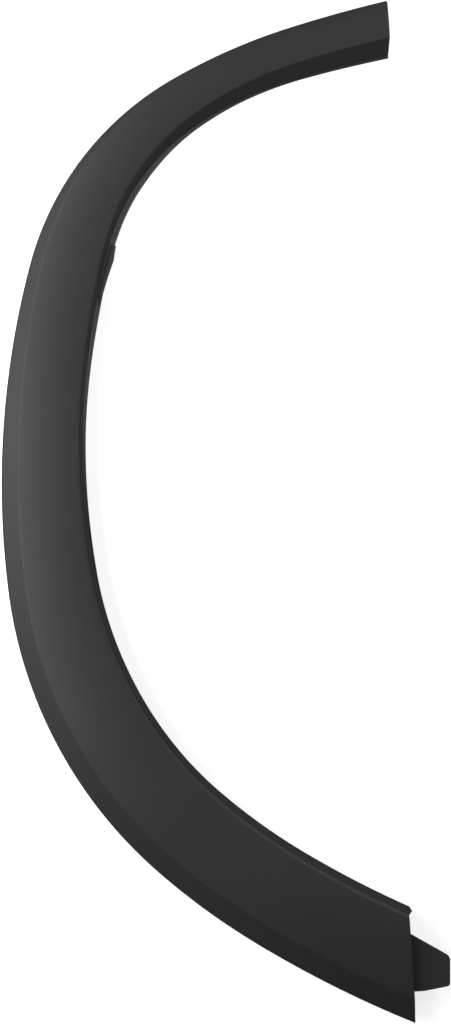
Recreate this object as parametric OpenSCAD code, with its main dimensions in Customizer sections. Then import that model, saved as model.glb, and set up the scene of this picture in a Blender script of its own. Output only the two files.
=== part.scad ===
// Wheel arch trim moulded in black plastic, lying face up on the edge of its wheelhouse flange.
// It is one moulding: an arched skin of even wall, open at the back, that is swept along the line
// where it meets the fender. That line is a chain of seven arcs, and seven sections set its width.

/* [Fender line] */
// Direction in which the fender line leaves the tip, turned from the X axis
tip_heading = 193.2; // [190:0.2:196]
// Radius of the fender line at the tip
tip_r = 1200; // [900:10:1600]
// Angle of the arc at the tip
tip_sweep = 4.5; // [3.5:0.5:6]
// Radius of the fender line at the neck
neck_r = 515; // [450:5:600]
// Angle of the arc at the neck
neck_sweep = 12.5; // [11:0.5:14]
// Radius of the fender line at the shoulder, its tightest bend
shoulder_r = 265; // [240:5:290]
// Angle of the arc at the shoulder
shoulder_sweep = 45; // [42:0.5:48]
// Radius of the fender line at the crown of the arch
crown_r = 750; // [650:10:850]
// Angle of the arc at the crown
crown_sweep = 22; // [20:0.5:24]
// Radius of the fender line at the quarter
quarter_r = 390; // [360:5:420]
// Angle of the arc at the quarter
quarter_sweep = 41.5; // [39:0.5:44]
// Radius of the fender line above the foot
shin_r = 605; // [540:5:680]
// Angle of the arc above the foot
shin_sweep = 10; // [8:0.5:12]
// Radius of the fender line at the foot
foot_r = 980; // [850:10:1150]
// Angle of the arc at the foot
foot_sweep = 10.5; // [9.5:0.5:12]

/* [Places of the sections] */
// Distance of the neck section from the tip, along the fender line
neck_at = 160; // [150:5:190]
// Distance of the shoulder section
shoulder_at = 300; // [280:5:320]
// Distance of the haunch section
haunch_at = 400; // [385:5:420]
// Distance of the crown section
crown_at = 560; // [540:5:600]
// Distance of the quarter section
quarter_at = 840; // [800:5:880]

/* [Overall width] */
// Width from the fender line to the inner edge at the tip
tip_w = 47.4; // [44:0.2:52]
// Width at the neck, the narrowest place
neck_w = 43.8; // [41:0.2:47]
// Width at the shoulder
shoulder_w = 56; // [53:0.5:59]
// Width at the haunch
haunch_w = 66.5; // [64:0.5:69]
// Width at the crown
crown_w = 72; // [70:0.5:76]
// Width at the quarter
quarter_w = 85; // [82:0.5:88]
// Width at the foot
foot_w = 91.6; // [88:0.2:95]

/* [Sloping flank] */
// Width of the flank that slopes down to the fender, at the tip
tip_flank = 4; // [3.5:0.1:6]
// Width of the flank at the neck
neck_flank = 4.7; // [4:0.1:6]
// Width of the flank at the shoulder
shoulder_flank = 7.5; // [6:0.5:9]
// Width of the flank at the haunch
haunch_flank = 11.5; // [10:0.5:13]
// Width of the flank at the crown
crown_flank = 16; // [14:0.5:18]
// Width of the flank at the quarter
quarter_flank = 19; // [17:0.5:21]
// Width of the flank at the foot
foot_flank = 23; // [21:0.5:25]

/* [Wheelhouse flange] */
// How far the flange leans in from the face to its foot, at the tip
tip_lean = 11.3; // [8:0.1:13]
// Lean of the flange at the neck
neck_lean = 7; // [5:0.5:9]
// Lean of the flange at the shoulder
shoulder_lean = 2; // [1:0.5:4]
// Lean of the flange from the haunch to the foot of the arch
arch_lean = 1; // [0.5:0.5:3]
// Width of the bead along the foot of the flange, at both ends and at the quarter
end_bead = 0.8; // [0.6:0.1:2]
// Width of that bead between the shoulder and the haunch
haunch_bead = 4.2; // [3:0.1:6]
// Width of that bead at the crown
crown_bead = 2; // [1:0.1:3]
// Outside radius where the face rolls over into the flange, at the tip
tip_roll = 1.2; // [0.8:0.1:2]
// Rolled radius from the shoulder to the crown
crown_roll = 3; // [2:0.5:4]
// Rolled radius from the quarter to the foot
quarter_roll = 5.5; // [4:0.5:7]

/* [Section heights] */
// Height of the fender's surface above the edge of the flange
fender_z = 12; // [10:0.5:14]
// Height of the crease between the flank and the face
crease_z = 26; // [24:0.5:28]
// Height of the face where it meets the flange
inner_z = 28; // [26:0.5:30]
// Rise of the crowned face above a straight line across it
face_rise = 2.4; // [1:0.1:3.5]
// Wall of the moulding
wall = 2.5; // [2:0.1:3]
// Outside radius of the crease
crease_r = 1.8; // [1:0.1:3]
// Radius of the hollow corners on the back
hollow_r = 0.8; // [0.5:0.1:1.2]

/* [Ends] */
// Distance along the fender line from which the tip is kept
tip_trim = 5; // [2:0.5:12]
// Length of fender line that is cut away at the foot
foot_trim = 20.8; // [16:0.2:28]
// Lean of both end cuts from the Y axis
end_slant = 3.9; // [2:0.1:6]
// Radius of the foot's outer corner, seen from the front
foot_corner_r = 3; // [1.5:0.5:6]
// Length of the point that the flange keeps at the foot
nub_l = 5.5; // [3:0.5:8]
// Width of that point where it leaves the foot
nub_w = 6; // [4:0.5:8]
// Height of that point
nub_h = 5; // [3:0.5:8]

/* [Joining tongue] */
// How far the tongue stands out of the foot
tongue_l = 33.3; // [24:0.1:40]
// Width of the tongue where it leaves the foot
tongue_root_w = 50.4; // [44:0.2:56]
// Width of the tongue at its end
tongue_end_w = 25.6; // [18:0.2:30]
// Distance from the foot's outer corner to the tongue
tongue_from_corner = 31.2; // [29:0.2:36]
// Length of the tongue's straight outer side, before its chin
tongue_side_l = 9; // [6:1:14]
// How far the chin draws in towards the end
tongue_chin = 2.9; // [2:0.1:5]
// Thickness of the tongue
tongue_t = 2.5; // [2:0.1:3]
// Radius of the tongue's corner on the wheel side
tongue_r = 6; // [4:0.5:8]
// Radius of its chin's corner
chin_r = 3; // [2:0.5:5]
// Length of the gussets behind the tongue
gusset_l = 12; // [8:1:16]

/* [Catch] */
// Distance of the catch on the flange's bead from the start of the fender line
catch_at = 366; // [355:1:380]
// How far the catch steps out where it begins
catch_step = 1.2; // [0.8:0.1:2]
// How far its crest stands out
catch_out = 2.7; // [1.5:0.1:4]
// Distance from the step to the crest
crest_at = 17; // [10:1:24]
// Length of the catch with its long run-out
catch_l = 70; // [50:1:90]
// Height of the catch
catch_h = 4; // [3:0.5:6]

/* [Clip towers] */
// Length of a clip tower along the trim
tower_l = 26; // [22:1:30]
// Width of a clip tower across the trim
tower_w = 20; // [18:0.5:22]
// Wall of the clip towers
tower_wall = 2; // [1.6:0.1:2.4]
// Thickness of the seat at the foot of a tower
seat_t = 2; // [1.6:0.1:3]
// Radius of the round end of the keyhole in the seat
key_r = 4.5; // [4:0.1:5]
// Width of the throat through which a clip slides in
throat_w = 6; // [5:0.1:7]
// X position of the outermost pair of towers, one on each arm
tip_tower_x = 110; // [100:1:120]
// X position of the pair at the shoulder
shoulder_tower_x = -18; // [-30:1:-10]
// X position of the pair at the haunch
haunch_tower_x = -102; // [-110:1:-95]
// X position of the pair beside the crown
crown_tower_x = -143; // [-145:0.5:-138]

/* [Locating pins] */
// Radius of the two locating pins
pin_r = 3; // [2.5:0.1:3.5]
// Length of a locating pin below the fender's surface
pin_l = 8; // [6:0.5:10]
boss_r = 5.5; // [5:0.1:7]
// Y position of the pin at the crown
crown_pin_y = 60; // [50:1:65]
// X position of the pin on the wide arm
arm_pin_x = 52; // [45:1:60]

/* [Ribs and flange holes] */
// Thickness of the cross ribs
rib_t = 1.8; // [1.4:0.1:2.2]
// Distance between the cross ribs
rib_pitch = 46; // [40:1:60]
// Clearance between the ribs and the fender's surface
rib_gap = 3; // [2:0.5:5]
// Radius of the rivet holes in the flange
rivet_r = 4; // [3:0.1:5]
// Distance between the two rivet holes
rivet_pitch = 150; // [120:5:180]
// Y position midway between the rivet holes, where the flange is square to the X axis
rivet_mid_y = 60; // [50:1:65]
// Height of the rivet holes above the edge of the flange
rivet_z = 12; // [9:0.5:14]

/* [Hidden] */
$fn = 48;
skin_colour = [0.17, 0.17, 0.18];
// Rings along the sweep, points across the face between its corners, and points on each corner
ring_count = 96;
face_steps = 6;
crease_points = 3;
roll_points = 4;
// Straight pieces along the catch
catch_steps = 12;
tower_x = [tip_tower_x, shoulder_tower_x, haunch_tower_x, crown_tower_x];
// How far cutting tools reach past what they cut, and how far joined shapes sink into each other
past = 1;
sink = 0.6;
// Length of cutting tools that reach beyond the whole section
reach = 2 * foot_w;

// The chain of arcs, each with its radius and its angle
arcs = [
    [tip_r, tip_sweep], [neck_r, neck_sweep], [shoulder_r, shoulder_sweep], [crown_r, crown_sweep],
    [quarter_r, quarter_sweep], [shin_r, shin_sweep], [foot_r, foot_sweep]
];
function left_of(a) = [-sin(a), cos(a)];
function arc_end(pose, r, sweep) = let (a = pose[1], b = a + sweep)
    [pose[0] + r * (left_of(a) - left_of(b)), b];
function arc_length(arc) = arc[0] * arc[1] * PI / 180;
// Place and heading at the start of each arc, and the distance from the tip to it
poses = [
    for (i = 0, pose = [[0, 0], tip_heading]; i <= len(arcs);
        pose = i < len(arcs) ? arc_end(pose, arcs[i][0], arcs[i][1]) : pose, i = i + 1) pose
];
starts = [for (i = 0, s = 0; i <= len(arcs); s = i < len(arcs) ? s + arc_length(arcs[i]) : s, i = i + 1) s];
line_l = starts[len(arcs)];
function arc_at(s) = max([for (i = [0 : len(arcs) - 1]) if (s >= starts[i] || i == 0) i]);
// Place and heading of the fender line at distance s from its start, before centring
function line_pose(s) = let (i = arc_at(s), r = arcs[i][0])
    arc_end(poses[i], r, (s - starts[i]) / r * 180 / PI);

// Ends of the trim on the fender line
tip_corner = line_pose(tip_trim)[0];
foot_corner = line_pose(line_l - foot_trim)[0];
// Directions along the foot's cut towards the wheel, and out of it
foot_in = left_of(end_slant);
foot_out = -left_of(end_slant + 90);
// The arc that rounds the foot's outer corner
foot_arc = corner(line_pose(line_l - 2 * foot_trim)[0], foot_corner, foot_corner + foot_in * foot_w,
    foot_corner_r, roll_points);
// A point of the tongue's end, which is parallel to the Y axis
tongue_tip = foot_corner + foot_out * tongue_l
    + foot_in * (tongue_from_corner + tongue_chin + tongue_end_w);
left_x = min([for (i = [0 : 200]) line_pose(i / 200 * line_l)[0].x]);
// The origin is under the middle of the whole trim
middle = [(left_x + tongue_tip.x) / 2, (tip_corner.y + min([for (p = foot_arc) p.y])) / 2];

// Distances of the sections, and each size at them, from the tip to the foot
section_at = [0, neck_at, shoulder_at, haunch_at, crown_at, quarter_at, line_l];
widths = [tip_w, neck_w, shoulder_w, haunch_w, crown_w, quarter_w, foot_w];
flanks = [tip_flank, neck_flank, shoulder_flank, haunch_flank, crown_flank, quarter_flank, foot_flank];
leans = [tip_lean, neck_lean, shoulder_lean, arch_lean, arch_lean, arch_lean, arch_lean];
beads = [end_bead, end_bead, haunch_bead, haunch_bead, crown_bead, end_bead, end_bead];
rolls = [tip_roll, tip_roll, crown_roll, crown_roll, crown_roll, quarter_roll, quarter_roll];

// A size at distance s: a cubic curve through its values, whose slope at a section is that of the
// straight line between the sections on both sides of it
function slope(v, i) = let (a = max(i - 1, 0), b = min(i + 1, len(v) - 1))
    (v[b] - v[a]) / (section_at[b] - section_at[a]);
function size_at(v, s) =
    let (
        i = max([for (k = [0 : len(v) - 2]) if (s >= section_at[k] || k == 0) k]),
        h = section_at[i + 1] - section_at[i],
        t = (s - section_at[i]) / h
    )
    (2 * t ^ 3 - 3 * t ^ 2 + 1) * v[i] + (t ^ 3 - 2 * t ^ 2 + t) * h * slope(v, i)
    + (3 * t ^ 2 - 2 * t ^ 3) * v[i + 1] + (t ^ 3 - t ^ 2) * h * slope(v, i + 1);

// Points on a rounded corner at b, between the lines from a and to c
function corner(a, b, c, r, n) =
    let (
        u = (a - b) / norm(a - b),
        v = (c - b) / norm(c - b),
        half = acos(max(-1, min(1, u * v))) / 2,
        mid = (u + v) / norm(u + v),
        centre = b + mid * r / sin(half),
        // the corner turns by 180 degrees less its inner angle
        turn = 90 - half,
        side = u.x * v.y - u.y * v.x > 0 ? 1 : -1,
        start = atan2(-mid.y, -mid.x)
    )
    [for (k = [0 : n - 1]) let (a = start + side * turn * (1 - 2 * k / (n - 1))) centre + r * [cos(a), sin(a)]];

// Corners of the skin's outer side across the trim: distance from the fender line, and height
function skin_corners(s) =
    let (
        w = size_at(widths, s),
        bead = size_at(beads, s),
        crease = [size_at(flanks, s), crease_z],
        brow = [w - bead - size_at(leans, s), inner_z]
    )
    concat(
        [[0, fender_z]],
        [for (k = [0 : face_steps]) let (t = k / face_steps)
            crease + t * (brow - crease) + [0, 4 * face_rise * t * (1 - t)]],
        [[w - bead, 0]]
    );
function unit(v) = v / norm(v);
function right_of(a, b) = let (d = unit(b - a)) [d.y, -d.x];
// A section's corners moved in by a distance, with both ends kept at their own height
function inset(c, d) =
    let (n = len(c) - 1, first = right_of(c[0], c[1]), last = right_of(c[n - 1], c[n]))
    concat(
        [[c[0].x + d / first.x, c[0].y]],
        [for (i = [1 : n - 1])
            let (p = right_of(c[i - 1], c[i]), q = right_of(c[i], c[i + 1]), m = unit(p + q))
            c[i] + m * d / (m * p)],
        [[c[n].x + d / last.x, c[n].y]]
    );
function rounded(c, crease, roll) =
    let (n = len(c) - 1)
    concat(
        [c[0]],
        corner(c[0], c[1], c[2], crease, crease_points),
        [for (i = [2 : n - 2]) c[i]],
        corner(c[n - 2], c[n - 1], c[n], roll, roll_points),
        [c[n]]
    );
function outer_side(s) = rounded(skin_corners(s), crease_r, size_at(rolls, s));
function hollow_side(s) = let (roll = size_at(rolls, s))
    rounded(inset(skin_corners(s), wall), hollow_r, max(roll - wall, hollow_r));

// A point of a section, set up on the fender line
function on_line(s, p) = let (pose = line_pose(s), q = pose[0] - middle + left_of(pose[1]) * p.x)
    [q.x, q.y, p.y];
// Sweep of closed sections of equal length, with end faces listed as triangles of one section
module swept(rings, caps) {
    n = len(rings[0]);
    last = (len(rings) - 1) * n;
    polyhedron(
        points = [for (r = rings) each r],
        faces = concat(
            [for (k = [0 : len(rings) - 2], i = [0 : n - 1]) let (j = (i + 1) % n)
                each [[k * n + i, k * n + j, (k + 1) * n + j], [k * n + i, (k + 1) * n + j, (k + 1) * n + i]]],
            [for (c = caps) [c[2], c[1], c[0]]],
            [for (c = caps) [last + c[0], last + c[1], last + c[2]]]
        )
    );
}

// Section of the skin with the bead at its foot: the outer side, the bead, then the hollow side back
function skin_ring(s) =
    let (out = outer_side(s), n = len(out) - 1, w = size_at(widths, s), foot = out[n], above = out[n - 1],
        knee = foot + (above - foot) * wall / (above.y - foot.y), hollow = hollow_side(s))
    [for (p = concat([for (i = [0 : n - 1]) out[i]], [knee, [w, wall], [w, 0]],
        [for (i = [n : -1 : 0]) hollow[i]])) on_line(s, p)];
module skin() {
    // points up to the knee, which pair with those of the hollow side
    pairs = len(outer_side(0));
    ends = 2 * pairs + 1;
    caps = concat(
        [for (i = [0 : pairs - 2]) [i, i + 1, ends - i]],
        [for (i = [0 : pairs - 2]) [i + 1, ends - i - 1, ends - i]],
        [[pairs - 1, pairs, pairs + 2], [pairs, pairs + 1, pairs + 2]]
    );
    swept([for (k = [0 : ring_count]) skin_ring(k / ring_count * line_l)], caps);
}

// Section of the space inside the middle of the wall, down to a height: ribs and towers end in it
function space_ring(s, low) =
    let (c = inset(skin_corners(s), wall / 2), n = len(c) - 1,
        a = c[0] + (c[1] - c[0]) * (low - c[0].y) / (c[1].y - c[0].y),
        b = c[n] + (c[n - 1] - c[n]) * (low - c[n].y) / (c[n - 1].y - c[n].y))
    [for (p = concat([a], [for (i = [1 : n - 1]) c[i]], [b])) on_line(s, p)];
module space(s0, s1, steps, low) {
    n = face_steps + 3;
    caps = [for (i = [1 : n - 2]) [0, i, i + 1]];
    swept([for (k = [0 : steps]) space_ring(s0 + k / steps * (s1 - s0), low)], caps);
}

// Middle of the trim at distance s, and the distance at which the middle passes an X or a Y position
function mid_point(s) = on_line(s, [(size_at(widths, s) + size_at(flanks, s)) / 2, 0]);
crown_s = starts[3] + arc_length(arcs[3]) / 2;
steps = [0 : 1 / 60 : 1];
upper = [for (t = steps) let (s = (1 - t) * crown_s) [mid_point(s).x, s]];
lower = [for (t = steps) let (s = crown_s + t * (line_l - crown_s)) [mid_point(s).x, s]];
whole = [for (t = steps) let (s = (1 - t) * line_l) [mid_point(s).y, s]];
tower_s = concat([for (x = tower_x) lookup(x, upper)], [for (x = tower_x) lookup(x, lower)]);
pin_s = [lookup(crown_pin_y, whole), lookup(arm_pin_x, lower)];
// Distance at which the inner edge of the trim meets the foot's cut
foot_edge_s = lookup(0, [for (t = steps) let (s = line_l - (1 - t) * foot_w)
    [([on_line(s, [size_at(widths, s), 0]).x, on_line(s, [size_at(widths, s), 0]).y]
        + middle - foot_corner) * foot_out, s]]);

// Puts its children on the middle of the trim, with their X axis along it
module at_middle(s) {
    translate(mid_point(s)) rotate(line_pose(s)[1]) children();
}

// Puts its children on a point of the fender line, with their axes along an end cut
module at_cut(point) {
    translate([point.x - middle.x, point.y - middle.y, 0]) rotate(end_slant) children();
}

// Tower for a sliding clip: three walls and a seat with a keyhole, open towards the foot
module clip_tower(s) {
    difference() {
        intersection() {
            at_middle(s)
                translate([-tower_l / 2, -tower_w / 2, fender_z]) cube([tower_l, tower_w, reach]);
            space(s - tower_l, s + tower_l, 4, fender_z - past);
        }
        at_middle(s) {
            translate([-tower_l / 2 + tower_wall, -tower_w / 2 + tower_wall, fender_z + seat_t])
                cube([tower_l, tower_w - 2 * tower_wall, reach]);
            translate([0, 0, fender_z - past])
                cylinder(r = key_r, h = seat_t + 2 * past);
            translate([0, -throat_w / 2, fender_z - past])
                cube([tower_l, throat_w, seat_t + 2 * past]);
        }
    }
}

// Pin with a chamfered end below a boss that stops at the fender's surface
module locating_pin(s) {
    chamfer = pin_r / 3;
    intersection() {
        at_middle(s) {
            translate([0, 0, fender_z - pin_l + chamfer]) cylinder(r = pin_r, h = reach);
            translate([0, 0, fender_z - pin_l]) cylinder(r1 = pin_r - chamfer, r2 = pin_r, h = chamfer);
            translate([0, 0, fender_z]) cylinder(r = boss_r, h = reach);
        }
        space(s - 2 * boss_r, s + 2 * boss_r, 2, 0);
    }
}

// Ribs across the hollow side, left out where a tower or a pin stands
module cross_ribs() {
    clear = tower_l / 2 + 4 * rib_t;
    taken = concat(tower_s, pin_s);
    for (s = [rib_pitch / 2 : rib_pitch : foot_edge_s - gusset_l])
        if (min([for (t = taken) abs(s - t)]) > clear)
            space(s - rib_t / 2, s + rib_t / 2, 1, fender_z + rib_gap);
}

// Catch along the bead at the foot of the flange: a step towards the tip, a crest and a run-out
module flange_catch() {
    rise = [[0, catch_step], [crest_at, catch_out], [catch_l, -sink]];
    line = [for (k = [0 : catch_steps]) catch_at + k / catch_steps * catch_l];
    edge = [for (s = line) on_line(s, [size_at(widths, s) + lookup(s - catch_at, rise), 0])];
    back = [for (s = line) on_line(s, [size_at(widths, s) - haunch_bead / 2, 0])];
    linear_extrude(catch_h)
        polygon([for (p = concat(edge, [for (k = [catch_steps : -1 : 0]) back[k]])) [p.x, p.y]]);
}

// Tongue that goes behind the next moulding: a plate joggled down from the face by a riser
module joining_tongue() {
    side = tongue_from_corner;
    brow = [tongue_l, side + tongue_chin + tongue_end_w];
    chin = brow - tongue_end_w * [tan(end_slant), 1];
    root = [0, side + tongue_root_w];
    step = wall + sink;
    low = fender_z;
    s_root = line_l - foot_trim - foot_w / 2;
    at_cut(foot_corner)
        translate([0, 0, crease_z - wall - tongue_t])
            linear_extrude(tongue_t)
                polygon(concat([[-step, side], [tongue_side_l, side]],
                    corner([tongue_side_l, side], chin, brow, chin_r, roll_points),
                    corner(chin, brow, root, tongue_r, roll_points),
                    [root, [-step, root.y]]));
    intersection() {
        at_cut(foot_corner) {
            translate([-step, side, crease_z - wall - tongue_t + sink])
                cube([step, tongue_root_w, reach]);
            for (y = [side + rib_t, side + tongue_root_w / 2, side + tongue_root_w - rib_t])
                translate([-gusset_l, y - rib_t / 2, crease_z - wall - tongue_t + sink])
                    cube([gusset_l - sink, rib_t, reach]);
        }
        space(s_root - foot_w, line_l, 8, low);
    }
}

// What both end cuts take away, with the point of the flange left standing at the foot
module end_cuts() {
    at_cut(tip_corner)
        translate([0, -2 * tip_w, -past]) cube([reach, 3 * tip_w, reach]);
    difference() {
        at_cut(foot_corner)
            translate([0, -foot_w / 2, -past]) cube([reach, 2 * foot_w, reach]);
        flange_point();
    }
    translate([-middle.x, -middle.y, -past])
        linear_extrude(reach)
            polygon(concat([foot_corner + (foot_corner - foot_arc[1])], foot_arc));
}

// Pointed prism that keeps a nub of the flange's foot beyond the cut
module flange_point() {
    edge = on_line(foot_edge_s, [size_at(widths, foot_edge_s) - wall, 0]);
    translate([edge.x, edge.y, -2 * past])
        rotate(end_slant)
            linear_extrude(nub_h + 2 * past)
                polygon([[-past, -nub_w], [nub_l, 0], [-past, nub_w]]);
}

// Two rivet holes through the flange at the crown, both drilled along the X axis
module rivet_holes() {
    for (side = [-0.5, 0.5]) {
        y = rivet_mid_y + side * rivet_pitch;
        s = lookup(y, whole);
        foot = on_line(s, [size_at(widths, s), 0]);
        translate([foot.x - size_at(beads, s) - 3 * wall, y, rivet_z])
            rotate([0, 90, 0]) cylinder(r = rivet_r, h = 6 * wall);
    }
}

module fender_trim() {
    color(skin_colour) {
        difference() {
            skin();
            end_cuts();
            rivet_holes();
        }
        for (s = tower_s) clip_tower(s);
        for (s = pin_s) locating_pin(s);
        cross_ribs();
        flange_catch();
        joining_tongue();
    }
}

fender_trim();
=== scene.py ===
"""Fender trim of black grained plastic, lying face up on a pale floor under soft light.

The trim runs along the line where it meets the fender. A place on it is given by s, the distance
along that line from the tip, p, the distance across the trim, and z, the height above the floor,
all in millimetres as the mould drawing has them. Every mesh ends up in metres.
"""

import bpy
import numpy as np
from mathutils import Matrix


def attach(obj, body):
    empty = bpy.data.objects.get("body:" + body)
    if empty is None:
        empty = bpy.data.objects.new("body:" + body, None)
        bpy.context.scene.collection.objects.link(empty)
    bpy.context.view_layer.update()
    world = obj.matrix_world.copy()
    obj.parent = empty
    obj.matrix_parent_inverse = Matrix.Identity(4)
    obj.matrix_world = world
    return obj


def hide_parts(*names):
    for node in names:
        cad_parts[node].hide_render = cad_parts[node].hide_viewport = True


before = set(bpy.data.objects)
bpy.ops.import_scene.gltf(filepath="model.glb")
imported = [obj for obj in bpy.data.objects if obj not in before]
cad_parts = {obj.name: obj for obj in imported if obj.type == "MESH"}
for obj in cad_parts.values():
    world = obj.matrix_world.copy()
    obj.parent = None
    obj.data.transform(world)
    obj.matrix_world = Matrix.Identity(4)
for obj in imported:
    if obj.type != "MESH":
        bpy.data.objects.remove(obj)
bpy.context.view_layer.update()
MM = 0.001

# Skin of the trim
# One arched moulding of black polypropylene with a fine matt grain on its face. Seven arcs make the
# fender line, and seven sections set how wide, how bevelled and how rounded the skin is there.
ARC_RADII = np.array([1200, 515, 265, 750, 390, 605, 980.0])
ARC_SWEEPS = np.radians([4.5, 12.5, 45, 22, 41.5, 10, 10.5])
TIP_HEADING = np.radians(193.2)
ARC_STARTS = np.append(0, np.cumsum(ARC_RADII * ARC_SWEEPS))
LINE_LENGTH = ARC_STARTS[-1]
MIDDLE = np.array([-145.411, -447.327])
END_SLANT = np.radians(3.9)
TIP_TRIM = 5
FOOT_TRIM = 20.8
FOOT_CORNER_R = 3

SECTION_AT = np.array([0, 160, 300, 400, 560, 840, LINE_LENGTH])
WIDTHS = [47.4, 43.8, 56, 66.5, 72, 85, 91.6]
FLANKS = [4, 4.7, 7.5, 11.5, 16, 19, 23]
LEANS = [11.3, 7, 2, 1, 1, 1, 1]
BEADS = [0.8, 0.8, 4.2, 4.2, 2, 0.8, 0.8]
ROLLS = [1.2, 1.2, 3, 3, 3, 5.5, 5.5]
CREASES = [1.1, 1.0, 1.0, 1.2, 2.2, 4.0, 2.5]
FENDER_Z = 12
CREASE_Z = 26
INNER_Z = 28
FACE_RISE = 2.4
WALL = 2.5
EDGE_R = 0.45
HOLLOW_R = 0.8


def unit(v):
    """Vectors divided by their own lengths."""
    return v / np.linalg.norm(v, axis=-1, keepdims=True)


def fender_line(s):
    """Points and headings of the fender line: on each arc the heading grows by distance over radius,
    and the point goes round the arc's centre, which is one radius to the left."""
    s = np.asarray(s, float)

    def left(a):
        """Unit vectors to the left of the headings a."""
        return np.stack([-np.sin(a), np.cos(a)], -1)

    headings = TIP_HEADING + np.append(0, np.cumsum(ARC_SWEEPS))
    hops = ARC_RADII[:, None] * (left(headings[:-1]) - left(headings[1:]))
    corners = np.vstack([[0, 0], np.cumsum(hops, 0)]) - MIDDLE
    i = np.clip(np.searchsorted(ARC_STARTS, s, side="right") - 1, 0, len(ARC_RADII) - 1)
    heading = headings[i] + (s - ARC_STARTS[i]) / ARC_RADII[i]
    point = corners[i] + ARC_RADII[i][..., None] * (left(headings[i]) - left(heading))
    return point, heading


def size_at(values, s):
    """A size at distances s: a cubic through the section values, whose slope at a section is that of
    the straight line between its two neighbours."""
    v = np.asarray(values, float)
    ahead = np.minimum(np.arange(len(v)) + 1, len(v) - 1)
    behind = np.maximum(np.arange(len(v)) - 1, 0)
    slope = (v[ahead] - v[behind]) / (SECTION_AT[ahead] - SECTION_AT[behind])
    i = np.clip(np.searchsorted(SECTION_AT, s, side="right") - 1, 0, len(v) - 2)
    h = SECTION_AT[i + 1] - SECTION_AT[i]
    t = (s - SECTION_AT[i]) / h
    return ((2 * t**3 - 3 * t**2 + 1) * v[i] + (t**3 - 2 * t**2 + t) * h * slope[i]
            + (3 * t**2 - 2 * t**3) * v[i + 1] + (t**3 - t**2) * h * slope[i + 1])


def place(s, p, z):
    """World points, in metres, of places on the trim: p to the left of the fender line at s."""
    point, heading = fender_line(s)
    p, z = np.broadcast_arrays(p, z)
    return np.stack([point[..., 0] - np.sin(heading) * p, point[..., 1] + np.cos(heading) * p,
                     z + 0 * p], -1) * MM


def rounded(a, b, c, radius, count):
    """Points on the arc of the given radius that touches the lines ab and bc, in equal angles."""
    u, v = unit(a - b), unit(c - b)
    half = np.arccos(np.clip((u * v).sum(-1), -1, 1)) / 2
    mid = unit(u + v)
    centre = b + mid * (radius / np.sin(half))[:, None]
    side = np.sign(u[:, 0] * v[:, 1] - u[:, 1] * v[:, 0])
    swing = side * (np.pi / 2 - half)
    angle = np.arctan2(-mid[:, 1], -mid[:, 0])[:, None] + swing[:, None] * np.linspace(1, -1, count)
    return centre[:, None] + radius[:, None, None] * np.stack([np.cos(angle), np.sin(angle)], -1)


def rounded_loop(corners, radii, counts):
    """Closed outline with each corner swapped for its arc. A corner with a count of 1 stays a point."""
    n = len(counts)
    parts = [corners[:, i:i + 1] if counts[i] == 1 else
             rounded(corners[:, i - 1], corners[:, i], corners[:, (i + 1) % n], radii[i], counts[i])
             for i in range(n)]
    return np.concatenate(parts, 1)


def drawn_in(line, depth):
    """An open line moved to its right by depth, mitred at its corners, its ends kept at their height."""
    step = unit(np.diff(line, axis=1))
    right = np.stack([step[..., 1], -step[..., 0]], -1)
    mitre = unit(right[:, :-1] + right[:, 1:])
    inner = line[:, 1:-1] + mitre * depth / (mitre * right[:, 1:]).sum(-1, keepdims=True)
    first = line[:, 0] + np.stack([depth / right[:, 0, 0], 0 * right[:, 0, 0]], -1)
    last = line[:, -1] + np.stack([depth / right[:, -1, 0], 0 * right[:, -1, 0]], -1)
    return np.concatenate([first[:, None], inner, last[:, None]], 1)


def skin_line(s, face_points):
    """Sharp outer line across the trim: fender edge, crease, a face that rises as a parabola above
    the straight line from the crease to the brow, and the foot of the flange."""
    w, bead = size_at(WIDTHS, s), size_at(BEADS, s)
    crease = np.stack([size_at(FLANKS, s), CREASE_Z + 0 * s], -1)
    brow = np.stack([w - bead - size_at(LEANS, s), INNER_Z + 0 * s], -1)
    room = np.linalg.norm(brow - crease, axis=1)
    first, last = 2.2 / room, 1 - (1.3 * size_at(ROLLS, s) + 0.5) / room
    t = first[:, None] + (last - first)[:, None] * np.linspace(0, 1, face_points)
    t = np.concatenate([0 * s[:, None], t, 1 + 0 * s[:, None]], 1)[..., None]
    face = crease[:, None] + t * (brow - crease)[:, None] + [0, 4 * FACE_RISE] * t * (1 - t)
    edge = np.stack([0 * s, FENDER_Z + 0 * s], -1)
    foot = np.stack([w - bead, 0 * s], -1)
    return np.concatenate([edge[:, None], face, foot[:, None]], 1)


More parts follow.
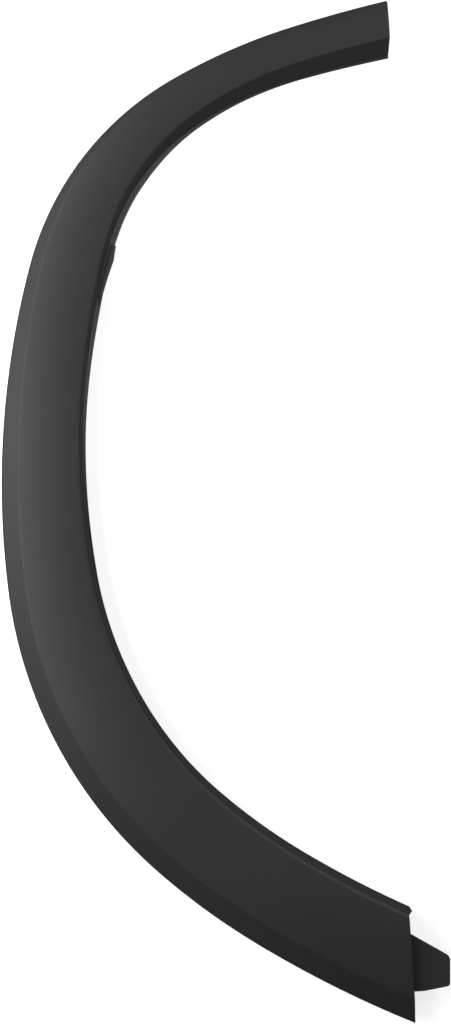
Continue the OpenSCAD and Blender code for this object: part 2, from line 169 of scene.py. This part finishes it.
def skin_outline(s):
    """Closed outline of the wall across the trim, clockwise from the fender edge: outer line, bead,
    and the hollow side back, with every corner rounded."""
    outer = skin_line(s, FACE_POINTS)
    hollow = drawn_in(outer, WALL)[:, ::-1]
    w, bead = size_at(WIDTHS, s), size_at(BEADS, s)
    foot, brow = outer[:, -1], outer[:, -2]
    knee = foot + (brow - foot) * (WALL / (brow - foot)[:, 1])[:, None]
    shelf = np.stack([[w, WALL + 0 * s], [w, 0 * s]]).transpose(2, 0, 1)
    flank = np.linspace(0, 1, 9)[1:-1, None] ** 1.5
    flank_out = outer[:, :1] + flank * (outer[:, 1:2] - outer[:, :1])
    flank_in = hollow[:, -1:] + flank[::-1] * (hollow[:, -2:-1] - hollow[:, -1:])
    corners = np.concatenate([outer[:, :1], flank_out, outer[:, 1:-1], knee[:, None], shelf,
                              hollow[:, :-1], flank_in, hollow[:, -1:]], 1)
    edge, roll = EDGE_R + 0 * s, size_at(ROLLS, s)
    inner_bend, outer_bend = np.minimum(1.0, 0.4 * bead), np.minimum(1.8, 0.42 * bead)
    plain = [None] * FACE_POINTS
    flat = [None] * len(flank)
    radii = ([edge] + flat + [size_at(CREASES, s)] + plain + [roll, inner_bend, outer_bend, edge * 0.6]
             + [edge, np.maximum(roll - WALL, HOLLOW_R)] + plain + [HOLLOW_R + 0 * s] + flat + [edge])
    counts = ([4] + [1] * len(flank) + [9] + [1] * FACE_POINTS + [12, 5, 5, 3]
              + [3, 6] + [1] * FACE_POINTS + [5] + [1] * len(flank) + [4])
    return rounded_loop(corners, radii, counts)


def cut_corner(trim):
    """Point of the fender line where an end cut starts."""
    return fender_line(np.array([trim]))[0][0]


def along_cut(points, corner):
    """Plan points seen from a cut's corner: the distance out of the trim, and along the cut."""
    d = points - corner
    c, n = np.cos(END_SLANT), np.sin(END_SLANT)
    return d[..., 0] * c + d[..., 1] * n, d[..., 1] * c - d[..., 0] * n


def solid_mesh(name, vertices, faces, smooth=None):
    """Mesh object of the given vertices and faces; smooth is one flag a face, or all if left out."""
    mesh = bpy.data.meshes.new(name)
    mesh.from_pydata(vertices.reshape(-1, 3).tolist(), [], faces)
    flags = np.ones(len(mesh.polygons), bool) if smooth is None else np.asarray(smooth, bool)
    mesh.polygons.foreach_set("use_smooth", flags)
    mesh.validate()
    piece = bpy.data.objects.new(name, mesh)
    bpy.context.scene.collection.objects.link(piece)
    return piece


def tube_faces(rings, around, start=0):
    """Quads between neighbouring rings of a grid, round each ring, and a flat face on both ends."""
    k, i = np.meshgrid(np.arange(rings - 1), np.arange(around), indexing="ij")
    j = (i + 1) % around
    quads = np.stack([k * around + i, (k + 1) * around + i, (k + 1) * around + j, k * around + j], -1)
    faces = (quads.reshape(-1, 4) + start).tolist()
    faces.append((np.arange(around) + start).tolist())
    faces.append((np.arange(around)[::-1] + (rings - 1) * around + start).tolist())
    return faces


FACE_POINTS = 22
RINGS = 440
END_EDGE = EDGE_R
END_STEPS = 4
NUB_L = 5.5
NUB_W = 6
NUB_H = 5
s_fine = np.linspace(0, LINE_LENGTH, 2542)
outline = skin_outline(s_fine)
surface = place(s_fine[:, None], outline[..., 0], outline[..., 1]) / MM
tip_corner = cut_corner(TIP_TRIM)
foot_corner = cut_corner(LINE_LENGTH - FOOT_TRIM)

# distance of every fine point past the tip's cut, and where each lengthwise line crosses it
past_tip = along_cut(surface[..., :2], tip_corner)[0]
row = np.argmax(past_tip < 0, axis=0)
cols = np.arange(outline.shape[1])
share = past_tip[row - 1, cols] / (past_tip[row - 1, cols] - past_tip[row, cols])
s_from = s_fine[row - 1] + share * (s_fine[1] - s_fine[0])

# the same for the foot, with its rounded outer corner and the nub that the flange keeps
past_foot, up_foot = along_cut(surface[..., :2], foot_corner)
line_dir = fender_line(np.array([LINE_LENGTH - FOOT_TRIM]))[1][0]
side_out = np.array([np.sin(line_dir), -np.cos(line_dir)])
lean = np.arcsin(side_out @ [np.cos(END_SLANT), np.sin(END_SLANT)])
centre_up = FOOT_CORNER_R * (1 + np.sin(lean)) / np.cos(lean)
from_centre = np.hypot(past_foot + FOOT_CORNER_R, up_foot - centre_up)
in_corner = (past_foot > -FOOT_CORNER_R) & (up_foot < centre_up)
past_foot = np.where(in_corner, from_centre - FOOT_CORNER_R, past_foot)
off_edge = outline[..., 0] - (size_at(WIDTHS, s_fine) - WALL)[:, None]
nub = NUB_L - (NUB_L + 1) / NUB_W * np.abs(off_edge) * 1.1
past_foot -= np.maximum(nub, 0) * np.clip(NUB_H + 0.6 - outline[..., 1], 0, 1) * (off_edge > -2)
last = len(s_fine) - 1 - np.argmax(past_foot[::-1] < 0, axis=0)
last = np.minimum(last, len(s_fine) - 2)
share = past_foot[last, cols] / (past_foot[last, cols] - past_foot[last + 1, cols])
s_to = s_fine[last] + share * (s_fine[1] - s_fine[0])

# rings along the trim, with a quarter round at both ends where they are drawn in along the normals
quarter = np.linspace(0, np.pi / 2, END_STEPS + 1)
draw = END_EDGE * (1 - np.cos(quarter))
hold = END_EDGE * (1 - np.sin(quarter))
u = np.linspace(0, 1, RINGS)[:, None]
inside = s_from + END_EDGE + u * (s_to - s_from - 2 * END_EDGE)
s_rings = np.concatenate([s_from + hold[:0:-1, None], inside, s_to - hold[1:, None]])
sink = np.concatenate([draw[:0:-1], 0 * u[:, 0], draw[1:]])[:, None, None]


def on_surface(table, s):
    """Rows of the fine table at the distances s, blended between the two nearest."""
    f = np.clip(s / (s_fine[1] - s_fine[0]), 0, len(s_fine) - 1.001)
    i = f.astype(int)
    return table[i, cols] * (1 - f + i)[..., None] + table[i + 1, cols] * (f - i)[..., None]


along = np.gradient(surface, axis=0)
across = np.roll(surface, -1, 1) - np.roll(surface, 1, 1)
normals = unit(np.cross(along, across))
skin_points = (on_surface(surface, s_rings) - sink * unit(on_surface(normals, s_rings))) * MM
skin_faces = tube_faces(*skin_points.shape[:2])
skin = solid_mesh("trim_skin", skin_points, skin_faces, [len(f) == 4 for f in skin_faces])


RIVET_Y = (-15, 135)
RIVET_Z = 12
RIVET_R = 4
DRILL_X = (-130, -113)


def rivet_drills():
    """Two rods along X through the flange at the crown, which cut the rivet holes."""
    turn = np.linspace(0, 2 * np.pi, 49)[:-1]
    vertices, faces = [], []
    for number, y in enumerate(RIVET_Y):
        for x in DRILL_X:
            ring = [x + 0 * turn, y + RIVET_R * np.cos(turn), RIVET_Z + RIVET_R * np.sin(turn)]
            vertices.append(np.stack(ring, -1))
        faces += tube_faces(len(DRILL_X), len(turn), start=number * len(DRILL_X) * len(turn))
    return solid_mesh("rivet_drills", np.array(vertices) * MM, faces)


drills = rivet_drills()
cut = skin.modifiers.new("rivet holes", "BOOLEAN")
cut.operation = "DIFFERENCE"
cut.solver = "EXACT"
cut.object = drills
bpy.context.view_layer.update()
holed = bpy.data.meshes.new_from_object(skin.evaluated_get(bpy.context.evaluated_depsgraph_get()))
skin.modifiers.clear()
skin.data = holed
bpy.data.objects.remove(drills)


def grained_plastic(name, grain):
    """Black polypropylene from an etched mould: a pebbled grain about half a millimetre across and grain
    millimetres deep, a slow drift of tone and gloss from the flow of the plastic, and a broad soft sheen.
    The bead at the foot of the flange, and the catch on it, carry a painted highlight: a lighter, speckled
    grey in the upper part of the arch."""
    material = bpy.data.materials.new(name)
    material.use_nodes = True
    nodes, links = material.node_tree.nodes, material.node_tree.links
    shader = nodes["Principled BSDF"]
    where = nodes.new("ShaderNodeTexCoord")

    def noise(scale, detail, roughness=0.5):
        """Fractal noise of that many waves a metre."""
        n = nodes.new("ShaderNodeTexNoise")
        n.inputs["Scale"].default_value = scale
        n.inputs["Detail"].default_value = detail
        n.inputs["Roughness"].default_value = roughness
        links.new(where.outputs["Object"], n.inputs["Vector"])
        return n.outputs["Fac"]

    def spread(value, low, high, start=0.3, end=0.7):
        """A value between start and end, carried over to the range from low to high."""
        m = nodes.new("ShaderNodeMapRange")
        m.inputs["From Min"].default_value = start
        m.inputs["From Max"].default_value = end
        m.inputs["To Min"].default_value = low
        m.inputs["To Max"].default_value = high
        links.new(value, m.inputs["Value"])
        return m.outputs["Result"]

    def both(first, second):
        """Product of two values."""
        m = nodes.new("ShaderNodeMath")
        m.operation = "MULTIPLY"
        links.new(first, m.inputs[0])
        links.new(second, m.inputs[1])
        return m.outputs["Value"]

    def mixed(factor, first, second):
        """Colour between two others, each a constant or another node's result."""
        m = nodes.new("ShaderNodeMix")
        m.data_type = "RGBA"
        links.new(factor, m.inputs["Factor"])
        for socket, colour in zip(("A", "B"), (first, second)):
            if isinstance(colour, tuple):
                m.inputs[socket].default_value = colour
            else:
                links.new(colour, m.inputs[socket])
        return m.outputs["Result"]

    place_on_part = nodes.new("ShaderNodeSeparateXYZ")
    links.new(where.outputs["Object"], place_on_part.inputs["Vector"])
    # painted highlight mask: everything below 4.2 mm, which is the bead and the catch, fading in from Y -20
    # mm to 80 mm and out from 300 mm to 380 mm, in the upper part of the arch
    bead_highlight_mask = both(spread(place_on_part.outputs["Z"], 1, 0, 4.2 * MM, 5 * MM),
                   both(spread(place_on_part.outputs["Y"], 0, 1, -20 * MM, 80 * MM),
                        spread(place_on_part.outputs["Y"], 1, 0, 300 * MM, 380 * MM)))
    face_tone = mixed(spread(noise(9, 3), 0, 1),
                      (0.0290, 0.0296, 0.0320, 1), (0.0350, 0.0356, 0.0380, 1))
    # painted highlight colour: a lighter, speckled grey on the bead that stands in for light it catches, not
    # a colour of the plastic
    painted_bead_highlight = mixed(spread(noise(700, 2), 0, 1),
                      (0.110, 0.111, 0.114, 1), (0.180, 0.181, 0.184, 1))
    links.new(mixed(bead_highlight_mask, face_tone, painted_bead_highlight), shader.inputs["Base Color"])
    links.new(spread(noise(420, 2), 0.50, 0.60), shader.inputs["Roughness"])
    pebbles = nodes.new("ShaderNodeTexVoronoi")
    pebbles.feature = "SMOOTH_F1"
    pebbles.inputs["Scale"].default_value = 1500
    links.new(where.outputs["Object"], pebbles.inputs["Vector"])
    etch = nodes.new("ShaderNodeMath")
    etch.operation = "ADD"
    links.new(pebbles.outputs["Distance"], etch.inputs[0])
    links.new(noise(900, 3, 0.6), etch.inputs[1])
    bump = nodes.new("ShaderNodeBump")
    bump.inputs["Strength"].default_value = 0.6
    bump.inputs["Distance"].default_value = grain * MM
    links.new(etch.outputs["Value"], bump.inputs["Height"])
    links.new(bump.outputs["Normal"], shader.inputs["Normal"])
    shader.inputs["Specular IOR Level"].default_value = 0.5
    return material


black_plastic = grained_plastic("grained black plastic", 0.05)


def finish_piece(piece, *nodes):
    """Gives a piece its plastic and body, and hides the plain solids that it stands for."""
    piece.data.materials.clear()
    piece.data.materials.append(black_plastic)
    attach(piece, "root")
    if nodes:
        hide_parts(*nodes)


finish_piece(skin, "fender_trim")

# Joining tongue
# A flat plate of the same moulding, set back behind the face and carried by a low riser at the foot.
# The next moulding laps over it. Its end is parallel to the Y axis and its chin is drawn in.
TONGUE_L = 33.3
TONGUE_SIDE = 31.2
TONGUE_ROOT_W = 50.4
TONGUE_END_W = 25.6
TONGUE_CHIN = 2.9
TONGUE_STRAIGHT = 9
TONGUE_TOP = CREASE_Z - WALL
TONGUE_T = 2.5


def loop_of(corners, radii, steps=9):
    """Closed plan outline through corner points, with those of a radius above zero rounded."""
    c = np.array(corners, float)[None]
    counts = [steps if r else 1 for r in radii]
    return rounded_loop(c, [np.array([float(r)]) for r in radii], counts)[0]


def in_loop(loop, depth):
    """A counterclockwise plan outline drawn in by depth along the mean normal of its two sides."""
    step = unit(np.roll(loop, -1, 0) - loop)
    left = np.stack([-step[:, 1], step[:, 0]], -1)
    mitre = unit(left + np.roll(left, 1, 0))
    return loop + mitre * depth / (mitre * left).sum(-1, keepdims=True)


def plate_rings(loop, low, high, edge, steps=3):
    """Rings of a flat plate: its outline carried from low to high, with a quarter round at both
    faces where it is drawn in by the same amounts as it nears the face."""
    a = np.linspace(0, np.pi / 2, steps + 1)
    depths = np.concatenate([edge * (1 - np.sin(a)), edge * (1 - np.sin(a[::-1]))])
    heights = np.concatenate([low + edge * (1 - np.cos(a)), high - edge * (1 - np.cos(a[::-1]))])
    return np.stack([np.column_stack([in_loop(loop, d), np.full(len(loop), z)])
                     for d, z in zip(depths, heights)])


def at_cut(points, corner):
    """World points of places given along an end cut: x out of the trim, y along the cut."""
    c, n = np.cos(END_SLANT), np.sin(END_SLANT)
    x = corner[0] + points[..., 0] * c - points[..., 1] * n
    y = corner[1] + points[..., 0] * n + points[..., 1] * c
    return np.stack([x, y, points[..., 2]], -1) * MM


def plates_mesh(name, plates):
    """One mesh of several closed plates, each an array of rings of world points."""
    vertices, faces, start = [], [], 0
    for rings in plates:
        faces += [f[::-1] for f in tube_faces(*rings.shape[:2], start=start)]
        vertices.append(rings.reshape(-1, 3))
        start += len(vertices[-1])
    return solid_mesh(name, np.concatenate(vertices), faces, [len(f) == 4 for f in faces])


GUSSET_L = 12
GUSSET_T = 1.8
SINK = 0.6
# turn between the foot's cut and a section across the trim
CUT_TURN = np.radians(24.7)
brow = np.array([TONGUE_L, TONGUE_SIDE + TONGUE_CHIN + TONGUE_END_W])
chin = brow - TONGUE_END_W * np.array([np.tan(END_SLANT), 1])
root = TONGUE_SIDE + TONGUE_ROOT_W
back = -WALL - SINK
tongue_loop = loop_of([(back, TONGUE_SIDE), (TONGUE_STRAIGHT, TONGUE_SIDE), chin, brow, (0, root),
                       (back, root)], [0, 8, 3, 6, 0, 0])
tongue_plate = plate_rings(tongue_loop, TONGUE_TOP - TONGUE_T, TONGUE_TOP, 0.4)
riser_low, riser_high = TONGUE_SIDE + 0.2, root - 0.2
riser_loop = loop_of([(back, riser_low), (-SINK, riser_low), (-SINK, riser_high), (back, riser_high)],
                     [0, 0, 0, 0])
riser = plate_rings(riser_loop, TONGUE_TOP - 1, CREASE_Z, 0.1)


def gusset(y):
    """Rings of a thin plate behind the riser at the place y along the cut. It ends in the middle of
    the skin's wall, whose height is that of the crowned face at the same distance across the trim."""
    low, high = y - GUSSET_T / 2, y + GUSSET_T / 2
    loop = loop_of([(-GUSSET_L, low), (-SINK, low), (-SINK, high), (-GUSSET_L, high)], [0, 0, 0, 0])
    t = (y * np.cos(CUT_TURN) - FLANKS[-1]) / (WIDTHS[-1] - BEADS[-1] - LEANS[-1] - FLANKS[-1])
    top = CREASE_Z + (INNER_Z - CREASE_Z) * t + 4 * FACE_RISE * t * (1 - t) - WALL / 2
    return plate_rings(loop, TONGUE_TOP - TONGUE_T + SINK / 2, top, 0.15)


gusset_y = (TONGUE_SIDE + GUSSET_T, (TONGUE_SIDE + root) / 2, root - GUSSET_T)
tongue_plates = [tongue_plate, riser] + [gusset(y) for y in gusset_y]
tongue = plates_mesh("joining_tongue", [at_cut(rings, foot_corner) for rings in tongue_plates])
finish_piece(tongue)

# Catch on the flange's bead
# A low ramp along the bead, moulded on to stop the wheelhouse liner: it steps out towards the tip,
# rises to a crest and runs out over seven centimetres.
CATCH_AT = 366
CATCH_L = 70
CATCH_H = 4
CATCH_STEP = 1.2
CATCH_OUT = 2.7
CREST_AT = 17
d = np.concatenate([[0, 0.15, 0.5, 1.0], np.linspace(2, CATCH_L, 60)])
rise = np.interp(d, [0, 0.5, CREST_AT, CATCH_L], [CATCH_STEP / 2, CATCH_STEP, CATCH_OUT, -0.9])
height = np.interp(d, [0, 0.6, 60, CATCH_L], [3.4, CATCH_H, CATCH_H, 2.4])
edge_p = size_at(WIDTHS, CATCH_AT + d) + rise
back_p = edge_p - rise - 2.3
section = np.stack([np.stack([back_p, 0.05 + 0 * d], -1), np.stack([back_p, height], -1),
                    np.stack([edge_p, height], -1), np.stack([edge_p, 0.05 + 0 * d], -1)], 1)
one = 1 + 0 * d
catch_rings = rounded_loop(section, [0.1 * one, 0.2 * one, 0.4 * one, 0.3 * one], [3, 3, 7, 4])
catch_points = place((CATCH_AT + d)[:, None], catch_rings[..., 0], catch_rings[..., 1])
catch_faces = tube_faces(*catch_points.shape[:2])
catch = solid_mesh("flange_catch", catch_points, catch_faces, [len(f) == 4 for f in catch_faces])
finish_piece(catch)

# Clip towers
# Eight open boxes on the hollow side, each with a keyhole in its seat. A push-in clip slides in from
# the foot's side and holds the trim to the fender, on whose surface the seats lie.
TOWER_L = 26
TOWER_W = 20
TOWER_WALL = 2
SEAT_T = 2
KEY_R = 4.5
THROAT_W = 6
TOWER_S = [43.34, 185.81, 315.90, 476.65, 693.31, 842.38, 994.47, 1159.05]


def middle_p(s):
    """Distance across to the middle between the inner edge and half way down the flank."""
    return (size_at(WIDTHS, s) + size_at(FLANKS, s)) / 2


def roof_z(s, p):
    """Height of the middle of the skin's wall above a place: the lowest of flank, face and flange."""
    flank, w = size_at(FLANKS, s), size_at(WIDTHS, s) - size_at(BEADS, s)
    lean = size_at(LEANS, s)
    up = CREASE_Z - FENDER_Z
    on_flank = FENDER_Z + up * (p / flank) - WALL / 2 * np.hypot(up, flank) / flank
    t = (p - flank) / (w - lean - flank)
    on_face = CREASE_Z + (INNER_Z - CREASE_Z) * t + 4 * FACE_RISE * t * (1 - t) - WALL / 2
    on_flange = INNER_Z * (w - p) / lean - WALL / 2 * np.hypot(INNER_Z, lean) / lean
    return np.minimum(np.minimum(on_flank, on_face), on_flange)


def standing_wall(loop, low, s0, edge=0.3):
    """Rings of a wall that stands on a plan outline around s0 and ends in the middle of the skin."""
    a = np.linspace(0, np.pi / 2, 4)
    rings = []
    for depth, lift in zip(edge * (1 - np.sin(a)), edge * (1 - np.cos(a))):
        ring = in_loop(loop, depth)
        rings.append(np.column_stack([ring, np.full(len(loop), low + lift)]))
    top = roof_z(s0 + loop[:, 0], middle_p(s0) + loop[:, 1])
    rings += [np.column_stack([loop, low + edge + (top - low - edge) * k]) for k in (0.35, 0.7, 1)]
    rings = np.array(rings)
    return place(s0 + rings[..., 0], middle_p(s0) + rings[..., 1], rings[..., 2])


def clip_tower(number, s0):
    """Tower at distance s0: a three-sided wall on a seat plate with its keyhole."""
    l, w, t = TOWER_L / 2, TOWER_W / 2, TOWER_WALL
    wall = loop_of([(-l, -w), (l, -w), (l, -w + t), (-l + t, -w + t), (-l + t, w - t), (l, w - t),
                    (l, w), (-l, w)], [1.2, 0.5, 0.5, 0.8, 0.8, 0.5, 0.5, 1.2], 5) * [1, 0.998]
    half = THROAT_W / 2
    open_to = np.arccos(half / KEY_R)
    key = np.linspace(np.pi / 2 - open_to, 2 * np.pi - np.pi / 2 + open_to, 29)
    hole = KEY_R * np.stack([np.cos(key), np.sin(key)], -1)[::-1]
    seat = loop_of([(l, half), (l, w), (-l, w), (-l, -w), (l, -w), (l, -half), *hole],
                   [0.5, 0.5, 1.2, 1.2, 0.5, 0.5] + [0] * len(hole), 5)
    rings = plate_rings(seat, FENDER_Z, FENDER_Z + SEAT_T, 0.25)
    seat_points = place(s0 + rings[..., 0], middle_p(s0) + rings[..., 1], rings[..., 2])
    piece = plates_mesh(f"clip_tower_{number}", [seat_points, standing_wall(wall, FENDER_Z + 1, s0)])
    finish_piece(piece)


for number, s0 in enumerate(TOWER_S, 1):
    clip_tower(number, s0)

# Locating pins
# Two pins, one at the crown and one on the wide arm, that drop into holes of the fender and set the
# trim in place before its clips are pressed home. Each stands on a round boss inside the skin.
PIN_S = [569.96, 1088.78]
PIN_R = 3
PIN_L = 8
BOSS_R = 5.5


def locating_pin(number, s0):
    """A turned form: radii and heights up the pin, its chamfer and its boss, carried round its axis."""
    top = float(roof_z(np.array([s0]), middle_p(np.array([s0])))[0])
    radii = np.array([0.02, 1.7, 1.92, 2.9, PIN_R, PIN_R, 3.05, 3.3, 5.2, 5.43, BOSS_R, BOSS_R])
    heights = np.array([4, 4, 4.08, 4.95, 5.1, 11.6, 11.85, FENDER_Z, FENDER_Z, 12.07, 12.3, top])
    turn = np.linspace(0, 2 * np.pi, 41)[:-1]
    middle = place(np.array([s0]), middle_p(np.array([s0])), np.array([0.0]))[0] / MM
    ring = np.stack([np.cos(turn), np.sin(turn)], -1)
    vertices = np.concatenate([middle[:2] + radii[:, None, None] * ring,
                               np.broadcast_to(heights[:, None, None], (len(radii), len(turn), 1))], -1) * MM
    faces = [f[::-1] for f in tube_faces(len(radii), len(turn))]
    piece = solid_mesh(f"locating_pin_{number}", vertices, faces, [len(f) == 4 for f in faces])
    finish_piece(piece)


for number, s0 in enumerate(PIN_S, 1):
    locating_pin(number, s0)

# Cross ribs
# Thin webs across the hollow side that keep the skin from bowing. They stop short of the fender and
# are left out where a tower or a pin stands.
RIB_T = 1.8
RIB_PITCH = 46
RIB_LOW = FENDER_Z + 3
RIB_END = 1188


def cross_rib(s0):
    """Rings of a rib from the flank to the flange: at each place across, a loop that goes up one
    side to the middle of the skin's wall, and down the other side to a rounded lower edge."""
    p = np.linspace(0, float(size_at(WIDTHS, s0)), 400)
    inside = p[roof_z(np.full(400, float(s0)), p) > RIB_LOW + 0.3]
    p = np.linspace(inside[0], inside[-1], 40)
    top = roof_z(np.full(40, float(s0)), p)
    a = np.linspace(-np.pi / 2, np.pi / 2, 7)
    across = np.concatenate([[-1], np.sin(a), [1]]) * RIB_T / 2
    low = RIB_LOW + RIB_T / 4 * (1 - np.cos(a))
    heights = np.concatenate([top[:, None], np.broadcast_to(low, (40, 7)), top[:, None]], 1)
    return place(s0 + np.broadcast_to(across, heights.shape), p[:, None], heights)


taken = np.array(TOWER_S + PIN_S)
rib_at = [s0 for s0 in np.arange(RIB_PITCH / 2, RIB_END, RIB_PITCH)
          if np.abs(taken - s0).min() > TOWER_L / 2 + 4 * RIB_T]
ribs = plates_mesh("cross_ribs", [cross_rib(s0)[:, ::-1] for s0 in rib_at])
finish_piece(ribs)

# Floor, light and camera
# A white studio sweep that throws no light back on the trim, three soft boxes on the left, two
# weaker ones on the right, and a camera straight above at the distance that the flat view asks for.
FLOOR_HALF = 30
floor_mesh = bpy.data.meshes.new("floor")
floor_mesh.from_pydata([(-FLOOR_HALF, -FLOOR_HALF, 0), (FLOOR_HALF, -FLOOR_HALF, 0),
                        (FLOOR_HALF, FLOOR_HALF, 0), (-FLOOR_HALF, FLOOR_HALF, 0)], [], [(0, 1, 2, 3)])
floor = bpy.data.objects.new("floor", floor_mesh)
bpy.context.scene.collection.objects.link(floor)
floor.visible_diffuse = False
floor.visible_glossy = False
white_sweep = bpy.data.materials.new("white sweep")
white_sweep.use_nodes = True
sweep_shader = white_sweep.node_tree.nodes["Principled BSDF"]
sweep_shader.inputs["Base Color"].default_value = (0.9, 0.9, 0.9, 1)
sweep_shader.inputs["Roughness"].default_value = 0.9
sweep_shader.inputs["Emission Color"].default_value = (1, 1, 1, 1)
sweep_shader.inputs["Emission Strength"].default_value = 0.72
floor.data.materials.append(white_sweep)


def soft_box(name, azimuth, elevation, distance, size, power):
    """Square area light of that size and power, at an angle round the crown of the trim and an angle
    above the floor, turned towards the crown."""
    a, e = np.radians([azimuth, elevation])
    data = bpy.data.lights.new(name, "AREA")
    data.size = size
    data.energy = power
    lamp = bpy.data.objects.new(name, data)
    towards = np.array([np.cos(e) * np.cos(a), np.cos(e) * np.sin(a), np.sin(e)])
    lamp.location = np.array([-0.10, 0.05, 0]) + distance * towards
    lamp.rotation_euler = (np.pi / 2 - e, 0, a + np.pi / 2)
    bpy.context.scene.collection.objects.link(lamp)


soft_box("low light from the left", 172, 28, 0.9, 0.5, 3.3)
soft_box("high light from the left", 200, 48, 0.9, 0.5, 3.3)
soft_box("low light from the upper left", 140, 20, 0.9, 0.4, 3.5)
soft_box("fill from the upper right", 60, 45, 1.6, 1.0, 2.4)
soft_box("low fill from the right", 20, 30, 1.0, 0.6, 2.2)
studio = bpy.data.worlds.new("studio")
studio.use_nodes = True
studio.node_tree.nodes["Background"].inputs["Color"].default_value = (1, 1, 1, 1)
studio.node_tree.nodes["Background"].inputs["Strength"].default_value = 0.13
bpy.context.scene.world = studio
bpy.context.scene.view_settings.view_transform = "Standard"

# height of the camera, the photograph's rows, and the size of one of its pixels on the floor
CAMERA_Z = 1.7
PHOTO_ROWS = 1024
PIXEL = 0.88 * MM
camera_data = bpy.data.cameras.new("camera")
camera_data.sensor_fit = "VERTICAL"
camera_data.sensor_height = 36
camera_data.lens = camera_data.sensor_height * CAMERA_Z / (PHOTO_ROWS * PIXEL)
camera = bpy.data.objects.new("camera", camera_data)
camera.location = (0.6 * MM, -0.4 * MM, CAMERA_Z)
bpy.context.scene.collection.objects.link(camera)
bpy.context.scene.camera = camera
